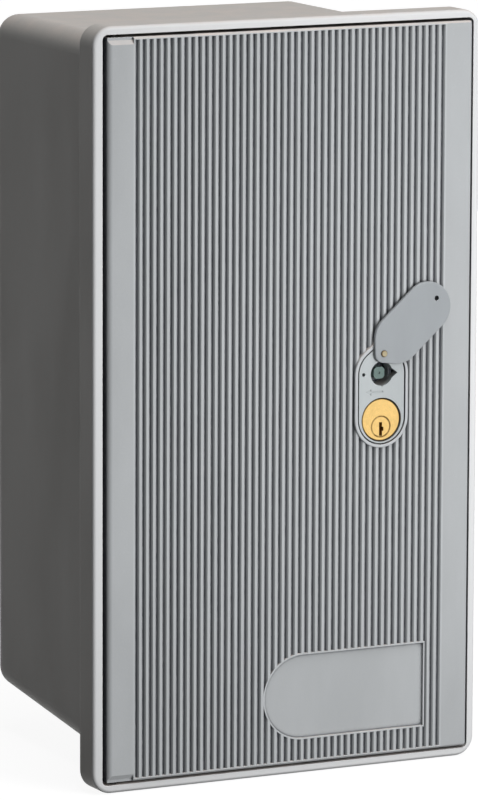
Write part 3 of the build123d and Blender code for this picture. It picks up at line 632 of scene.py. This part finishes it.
class MouldedSettings(bpy.types.PropertyGroup):
    """Colours and surface of the moulded box and its door"""

    box_colour: FloatVectorProperty(
        name="Box", description="Colour of the moulded box", subtype="COLOR",
        size=3, min=0, max=1, default=(0.44, 0.43, 0.412),
    )
    door_colour: FloatVectorProperty(
        name="Door", description="Colour of the moulded door", subtype="COLOR",
        size=3, min=0, max=1, default=(0.436, 0.452, 0.463),
    )
    roughness: FloatProperty(
        name="Roughness", description="How dull the moulding is",
        subtype="FACTOR", min=0, max=1, default=0.46,
    )
    grain: FloatProperty(
        name="Grain", description="Size of the mould's grain in millimetres",
        min=0.1, max=5, default=0.55,
    )
    # How strongly the edges are painted lighter, as highlight and rubbing
    edge_wear_and_highlight: FloatProperty(
        name="Wear", description="How much the edges have been rubbed",
        subtype="FACTOR", min=0, max=1, default=0.85,
    )
    # Dust on upward faces, which also paints them lighter as top light
    dust: FloatProperty(
        name="Dust", description="How much dust lies on faces that look up",
        subtype="FACTOR", min=0, max=1, default=0.6,
    )


class LockSettings(bpy.types.PropertyGroup):
    """Colours of the lock's parts"""

    plate_colour: FloatVectorProperty(
        name="Plate", description="Colour of the lock plate", subtype="COLOR",
        size=3, min=0, max=1, default=(0.45, 0.48, 0.49),
    )
    cover_colour: FloatVectorProperty(
        name="Cover", description="Colour of the swing cover", subtype="COLOR",
        size=3, min=0, max=1, default=(0.315, 0.335, 0.352),
    )
    post_colour: FloatVectorProperty(
        name="Post", description="Colour of the post in the key socket", subtype="COLOR",
        size=3, min=0, max=1, default=(0.14, 0.20, 0.185),
    )
    brass_colour: FloatVectorProperty(
        name="Brass", description="Colour of the key cylinder and the rivet",
        subtype="COLOR", size=3, min=0, max=1, default=(0.95, 0.64, 0.24),
    )
    steel_colour: FloatVectorProperty(
        name="Steel", description="Colour of the plated steel", subtype="COLOR",
        size=3, min=0, max=1, default=(0.62, 0.63, 0.64),
    )


class SealSettings(bpy.types.PropertyGroup):
    """Shape and colours of the seal and the grommets"""

    corner_steps: IntProperty(
        name="Corner Steps", description="Points round each corner of the seal",
        min=2, max=32, default=8,
    )
    foam_colour: FloatVectorProperty(
        name="Foam", description="Colour of the door's seal", subtype="COLOR",
        size=3, min=0, max=1, default=(0.022, 0.022, 0.024),
    )
    grommet_colour: FloatVectorProperty(
        name="Grommets", description="Colour of the cable grommets", subtype="COLOR",
        size=3, min=0, max=1, default=(0.035, 0.035, 0.037),
    )
    lip_round: FloatProperty(
        name="Lip Round", description="Radius of the grommets' lips",
        unit="LENGTH", min=0, max=0.002, default=0.0011, precision=5,
    )


class StageSettings(bpy.types.PropertyGroup):
    """Camera and light"""

    camera_place: FloatVectorProperty(
        name="Camera", description="Where the camera stands", subtype="TRANSLATION",
        unit="LENGTH", size=3, default=(-1.513, -3.129, 0.555),
    )
    camera_azimuth: FloatProperty(
        name="Azimuth", description="Turn of the view from the door's front",
        unit="ROTATION", default=math.radians(26.687),
    )
    camera_drop: FloatProperty(
        name="Drop", description="How far the view looks down",
        unit="ROTATION", default=math.radians(9.505),
    )
    camera_roll: FloatProperty(
        name="Roll", description="Roll of the camera",
        unit="ROTATION", default=math.radians(0.22),
    )
    lens: FloatProperty(
        name="Lens", description="Focal length in millimetres", min=10, max=1000,
        default=276.3,
    )
    key_power: FloatProperty(
        name="Key", description="Power of the soft lamp before the door", unit="POWER",
        default=3.9,
    )
    top_power: FloatProperty(
        name="Top", description="Power of the large lamp overhead", unit="POWER",
        default=26.0,
    )
    back_power: FloatProperty(
        name="Back", description="Power of the lamp behind the box", unit="POWER",
        default=30.0,
    )
    sky: FloatProperty(
        name="Sky", description="Light that comes from all sides", min=0, max=2,
        default=0.05,
    )


class MeterBoxSettings(bpy.types.PropertyGroup):
    """Everything that the panel shows"""

    moulded: PointerProperty(type=MouldedSettings)
    lock: PointerProperty(type=LockSettings)
    seal: PointerProperty(type=SealSettings)
    stage: PointerProperty(type=StageSettings)


# Operators


class METERBOX_OT_moulding(bpy.types.Operator):
    """Finish the moulded box and its frame"""

    bl_idname = "meter_box.moulding"
    bl_label = "Box Moulding"

    def execute(self, context):
        settings = context.scene.meter_box.moulded
        plastic = moulded_plastic(
            "Box plastic",
            settings.box_colour,
            settings.roughness,
            grain=settings.grain,
            rubbed_and_highlit=settings.edge_wear_and_highlight,
            dust=settings.dust,
            edge=0.6,
            corner=0.6,
            paled=RIM_BAND,
            gloss=0.18,
        )
        dress(["body_shell"], plastic)
        return {"FINISHED"}


class METERBOX_OT_door(bpy.types.Operator):
    """Finish the ribbed door"""

    bl_idname = "meter_box.door"
    bl_label = "Ribbed Door"

    def execute(self, context):
        settings = context.scene.meter_box.moulded
        plastic = moulded_plastic(
            "Door plastic",
            settings.door_colour,
            settings.roughness,
            grain=settings.grain,
            rubbed_and_highlit=settings.edge_wear_and_highlight,
            # More dust on the door paints its upward facets lighter, as top light
            dust=min(1.0, 1.6 * settings.dust),
            edge=0.4,
            corner=0.85,
            groove=GROOVE_BAND,
            crests=RIB_FIELD,
            gloss=0.4,
        )
        dress(["door_panel"], plastic)
        return {"FINISHED"}


class METERBOX_OT_lock_front(bpy.types.Operator):
    """Finish the lock plate, its swing cover and the post in the key socket"""

    bl_idname = "meter_box.lock_front"
    bl_label = "Lock Front"

    def execute(self, context):
        settings = context.scene.meter_box.lock
        plate = moulded_plastic(
            "Plate plastic", settings.plate_colour, roughness=0.38,
            grain=0.8, grain_height=0.08, edge=0.3, rubbed_and_highlit=0.5, corner=0.5, dust=0.1,
        )
        dress(["lock_plate"], plate)
        cover = painted_metal("Cover paint", settings.cover_colour, roughness=0.36)
        dress(["swing_cover"], cover)
        post = moulded_plastic(
            "Post plastic", settings.post_colour, roughness=0.3,
            grain=1.0, grain_height=0.05, edge=0.25, rubbed_and_highlit=0.3, corner=0.6, dust=0.0,
        )
        dress(["socket_post"], post)
        return {"FINISHED"}


class METERBOX_OT_key_cylinder(bpy.types.Operator):
    """Finish the brass key cylinder, its plug, its nut and the cover's rivet"""

    bl_idname = "meter_box.key_cylinder"
    bl_label = "Key Cylinder"

    def execute(self, context):
        colour = context.scene.meter_box.lock.brass_colour
        roughness, dull_roughness, dull_colour = 0.27, 0.4, (0.52, 0.45, 0.30)
        low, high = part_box("cylinder_plug")
        plug_centre = (low + high) / 2
        plug_line = (plug_centre, 5.75, 0.75)
        low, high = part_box("cylinder_housing")
        centre = (low + high) / 2
        # Painted shade: a dark ring round the head, where its recess is shaded
        head_rim_shade = (centre, (high.x - low.x) / 2 / MM, 0.9)
        lines = [plug_line, head_rim_shade]
        housing = turned_metal("Housing brass", colour, roughness, centre, lines)
        dress(["cylinder_housing", "cylinder_nut"], housing)
        plug = turned_metal("Plug brass", colour, roughness, plug_centre, [plug_line])
        dress(["cylinder_plug"], plug)
        low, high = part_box("cover_rivet")
        centre = (low + high) / 2
        rim_line = (centre, (high.x - low.x) / 2 / MM, 0.7)
        rivet = turned_metal("Rivet brass", dull_colour, dull_roughness, centre, [rim_line])
        dress(["cover_rivet"], rivet)
        return {"FINISHED"}


class METERBOX_OT_steel_parts(bpy.types.Operator):
    """Finish the bolt, cams, strike, screws and hinge pins"""

    bl_idname = "meter_box.steel_parts"
    bl_label = "Steel Parts"

    def execute(self, context):
        colour = context.scene.meter_box.lock.steel_colour
        steel = plated_steel("Plated steel", colour, roughness=0.33)
        dress(
            [
                "latch_bolt", "strike_bracket", "plug_cam", "post_cam",
                "board_screws", "strike_screws", "lock_case_screws",
                "plug_cam_screw", "post_cam_screw",
            ],
            steel,
        )
        # Painted shade: near-black pins so that the gap beside the door's hinge side reads
        # dark
        gap_shade_black = (0.035, 0.035, 0.038)
        dress(["hinge_pins"], plated_steel("Gap shade steel", gap_shade_black, roughness=0.5))
        return {"FINISHED"}


class METERBOX_OT_inner_plastics(bpy.types.Operator):
    """Finish the lock case, the hinge bushes and the meter board"""

    bl_idname = "meter_box.inner_plastics"
    bl_label = "Inner Plastics"

    def execute(self, context):
        case = moulded_plastic(
            "Black inner plastic", (0.030, 0.031, 0.033), roughness=0.5,
            grain=0.45, grain_height=0.35, edge=0.4, rubbed_and_highlit=0.25, corner=0.2, dust=0.1,
        )
        dress(["lock_case"], case)
        bush = moulded_plastic(
            "Bush plastic", (0.68, 0.67, 0.62), roughness=0.4,
            grain=1.0, grain_height=0.05, edge=0.25, rubbed_and_highlit=0.1, corner=0.3, dust=0.05,
        )
        dress(["hinge_bushes"], bush)
        dress(["meter_board"], pressed_board("Board laminate", (0.36, 0.33, 0.28)))
        return {"FINISHED"}


class METERBOX_OT_door_seal(bpy.types.Operator):
    """Build the soft seal that runs round the ledge behind the door"""

    bl_idname = "meter_box.door_seal"
    bl_label = "Door Seal"

    def execute(self, context):
        settings = context.scene.meter_box.seal
        low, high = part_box("door_gasket")
        width, height = 5.6 * MM, high.y - low.y
        corner, least_corner = 3.0 * MM, 0.4 * MM
        side_share, arc_steps = 0.45, 12
        profile = [(0.0, 0.0)]
        for step in range(arc_steps + 1):
            angle = math.pi * step / arc_steps
            across = width / 2 * (1 - math.cos(angle))
            rise = height * (side_share + (1 - side_share) * math.sin(angle))
            profile.append((across, rise))
        profile.append((width, 0.0))
        maker = bmesh.new()
        loops = []
        for across, rise in profile:
            ring = rounded_rectangle(
                (low.x + across, low.z + across),
                (high.x - across, high.z - across),
                max(corner - across, least_corner),
                settings.corner_steps,
            )
            loops.append([(x, high.y - rise, z) for x, z in ring])
        loft(maker, loops)
        foam = soft_rubber(
            "Seal foam", settings.foam_colour, roughness=0.8, cells=0.7, depth=0.6
        )
        add_piece("seal_foam", maker, foam, "box", ["door_gasket"])
        return {"FINISHED"}


class METERBOX_OT_grommets(bpy.types.Operator):
    """Build the rubber grommets of the two cable entries"""

    bl_idname = "meter_box.grommets"
    bl_label = "Cable Grommets"

    def execute(self, context):
        settings = context.scene.meter_box.seal
        maker = bmesh.new()
        for mount in frame["record"]["mounts"]:
            if mount["name"].startswith("cable_entry"):
                self.turn(maker, mount, settings.lip_round)
        rubber = soft_rubber(
            "Grommet rubber", settings.grommet_colour, roughness=0.55, cells=1.6, depth=0.12
        )
        add_piece(
            "grommet_pair", maker, rubber, "box", ["cable_grommets"]
        )
        return {"FINISHED"}

    def turn(self, maker, mount, lip):
        """Turns one grommet's section round the axis of its entry."""
        hole = mount["dims"]["r_mm"] * MM
        neck, flange = 14.8 * MM, 19.0 * MM
        thick, wall = 2.5 * MM, 3.0 * MM
        groove_top, groove_floor, groove_depth = 0.5 * MM, 0.3 * MM, 0.45 * MM
        cut, under_cut = lip * 0.3, lip * 0.4
        outer = [(hole, thick - lip), (hole + cut, thick - cut), (hole + lip, thick)]
        for groove in (11.6 * MM, 14.4 * MM):
            outer += [
                (groove - groove_top, thick), (groove - groove_floor, thick - groove_depth),
                (groove + groove_floor, thick - groove_depth), (groove + groove_top, thick),
            ]
        outer += [
            (flange - lip, thick), (flange - cut, thick - cut),
            (flange, thick - lip), (flange, under_cut), (flange - cut, 0.0),
        ]
        section = outer + [(neck, 0.0), (neck, -wall)]
        section += [(radius, -wall - height) for radius, height in reversed(outer)]
        axis = Vector(mount["axis"]).normalized()
        side = axis.orthogonal().normalized()
        place = Matrix((side, axis.cross(side), axis)).transposed()
        half_length = mount["dims"]["length_mm"] * MM / 2
        centre = Vector(mount["pos_m"]) + axis * (thick + wall - half_length)
        steps = 64
        loops = []
        for step in range(steps):
            angle = 2 * math.pi * step / steps
            turn = Vector((math.cos(angle), math.sin(angle), 0))
            loops.append(
                [
                    centre + place @ (turn * radius + Vector((0, 0, height)))
                    for radius, height in section
                ]
            )
        loft(maker, loops)


class METERBOX_OT_stage(bpy.types.Operator):
    """Set up the floor, the lamps, the sky and the camera"""

    bl_idname = "meter_box.stage"
    bl_label = "Stage"

    def execute(self, context):
        settings = context.scene.meter_box.stage
        context.scene.view_settings.view_transform = "Standard"
        self.floor()
        for name, power, size, direction, distance, in_gloss in (
            ("Key lamp", settings.key_power, 0.30, (0.18, -0.72, 0.05), 0.74, False),
            ("Top lamp", settings.top_power, 1.3, (0.05, -0.30, 1.0), 2.0, True),
            ("Back lamp", settings.back_power, 1.0, (0.40, 1.0, 0.05), 2.2, False),
        ):
            self.lamp(name, power, size, Vector(direction), distance, in_gloss)
        self.sky(context.scene, settings.sky)
        self.camera(context.scene, settings)
        return {"FINISHED"}

    def floor(self):
        """A pale floor just under the box. The camera sees it lit evenly."""
        mesh = bpy.data.meshes.new("floor")
        half, level = 4.0, CAD_LOW.z - 0.5 * MM
        signs = ((-1, -1), (1, -1), (1, 1), (-1, 1))
        corners = [(half * x, half * y, level) for x, y in signs]
        mesh.from_pydata(corners, [], [(0, 1, 2, 3)])
        material, tree, shader = new_material("Pale floor")
        shader.inputs["Base Color"].default_value = (0.14, 0.14, 0.14, 1.0)
        shader.inputs["Roughness"].default_value = 0.9
        shader.inputs["Specular IOR Level"].default_value = 0.0
        shader.inputs["Emission Color"].default_value = (1.0, 1.0, 1.0, 1.0)
        near, far, near_strength, far_strength = 0.3, 1.0, 0.92, 1.0
        distance = vector_node(tree, "LENGTH", own_place(tree)).outputs["Value"]
        lift = remap(tree, distance, near, far, near_strength, far_strength)
        lift = math_node(tree, "MULTIPLY", seen_rays(tree), lift)
        tree.links.new(lift, shader.inputs["Emission Strength"])
        mesh.materials.append(material)
        ground = bpy.data.objects.new("floor", mesh)
        bpy.context.scene.collection.objects.link(ground)

    def lamp(self, name, power, size, direction, distance, in_gloss):
        """A square lamp that looks at the box from a direction, unseen by the camera."""
        data = bpy.data.lights.new(name, "AREA")
        data.energy = power
        data.size = size
        lamp = bpy.data.objects.new(name, data)
        bpy.context.scene.collection.objects.link(lamp)
        lamp.location = (CAD_LOW + CAD_HIGH) / 2 + direction.normalized() * distance
        lamp.rotation_euler = (-direction).to_track_quat("-Z", "Y").to_euler()
        lamp.visible_camera = False
        lamp.visible_glossy = in_gloss

    def sky(self, scene, strength):
        """An even sky that the camera, gloss and glass see as white."""
        world = bpy.data.worlds.new("Sky")
        scene.world = world
        world.use_nodes = True
        tree = world.node_tree
        tree.nodes.clear()
        daylight, white = (0.93, 0.96, 1.0, 1.0), (1.0, 1.0, 1.0, 1.0)
        soft = node(tree, "ShaderNodeBackground", Color=daylight, Strength=strength)
        plain = node(tree, "ShaderNodeBackground", Color=white, Strength=1.0)
        choice = tree.nodes.new("ShaderNodeMixShader")
        tree.links.new(seen_rays(tree), choice.inputs[0])
        tree.links.new(soft.outputs[0], choice.inputs[1])
        tree.links.new(plain.outputs[0], choice.inputs[2])
        output = tree.nodes.new("ShaderNodeOutputWorld")
        tree.links.new(choice.outputs[0], output.inputs["Surface"])

    def camera(self, scene, settings):
        """The camera, at the photograph's place and angle."""
        data = bpy.data.cameras.new("Camera")
        data.lens = settings.lens
        data.clip_start, data.clip_end = 0.1, 50.0
        camera = bpy.data.objects.new("Camera", data)
        scene.collection.objects.link(camera)
        turn = settings.camera_azimuth
        drop = settings.camera_drop
        ahead = Vector(
            (math.sin(turn) * math.cos(drop), math.cos(turn) * math.cos(drop), -math.sin(drop))
        )
        look = ahead.to_track_quat("-Z", "Y").to_matrix().to_4x4()
        roll = Matrix.Rotation(settings.camera_roll, 4, "Z")
        camera.matrix_world = Matrix.Translation(settings.camera_place) @ look @ roll
        scene.camera = camera


def seen_rays(tree):
    """1 for rays from the camera, from gloss and through glass, and 0 for the rest."""
    path = tree.nodes.new("ShaderNodeLightPath").outputs
    seen = math_node(tree, "MAXIMUM", path["Is Camera Ray"], path["Is Glossy Ray"])
    return math_node(tree, "MAXIMUM", seen, path["Is Transmission Ray"])


class METERBOX_PT_panel(bpy.types.Panel):
    """Sidebar panel with the settings and the operators"""

    bl_idname = "METERBOX_PT_panel"
    bl_label = "Meter Box"
    bl_space_type = "VIEW_3D"
    bl_region_type = "UI"
    bl_category = "Meter Box"

    def draw(self, context):
        settings = context.scene.meter_box
        for title, part in (
            ("Moulding", settings.moulded),
            ("Lock", settings.lock),
            ("Seals", settings.seal),
            ("Stage", settings.stage),
        ):
            box = self.layout.box()
            box.label(text=title)
            for name in part.__annotations__:
                box.prop(part, name)
        column = self.layout.column(align=True)
        for operator in OPERATORS:
            column.operator(operator.bl_idname)


SETTINGS = (
    MouldedSettings,
    LockSettings,
    SealSettings,
    StageSettings,
    MeterBoxSettings,
)
OPERATORS = (
    METERBOX_OT_moulding,
    METERBOX_OT_door,
    METERBOX_OT_lock_front,
    METERBOX_OT_key_cylinder,
    METERBOX_OT_steel_parts,
    METERBOX_OT_inner_plastics,
    METERBOX_OT_door_seal,
    METERBOX_OT_grommets,
    METERBOX_OT_stage,
)


def register():
    """Registers the settings, the operators and the panel."""
    for kind in (*SETTINGS, *OPERATORS, METERBOX_PT_panel):
        bpy.utils.register_class(kind)
    bpy.types.Scene.meter_box = PointerProperty(type=MeterBoxSettings)


def unregister():
    """Takes them out again."""
    del bpy.types.Scene.meter_box
    for kind in reversed((*SETTINGS, *OPERATORS, METERBOX_PT_panel)):
        bpy.utils.unregister_class(kind)


def main():
    """Registers the add-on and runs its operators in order."""
    register()
    for operator in OPERATORS:
        group, name = operator.bl_idname.split(".")
        getattr(getattr(bpy.ops, group), name)()


if __name__ == "__main__":
    main()
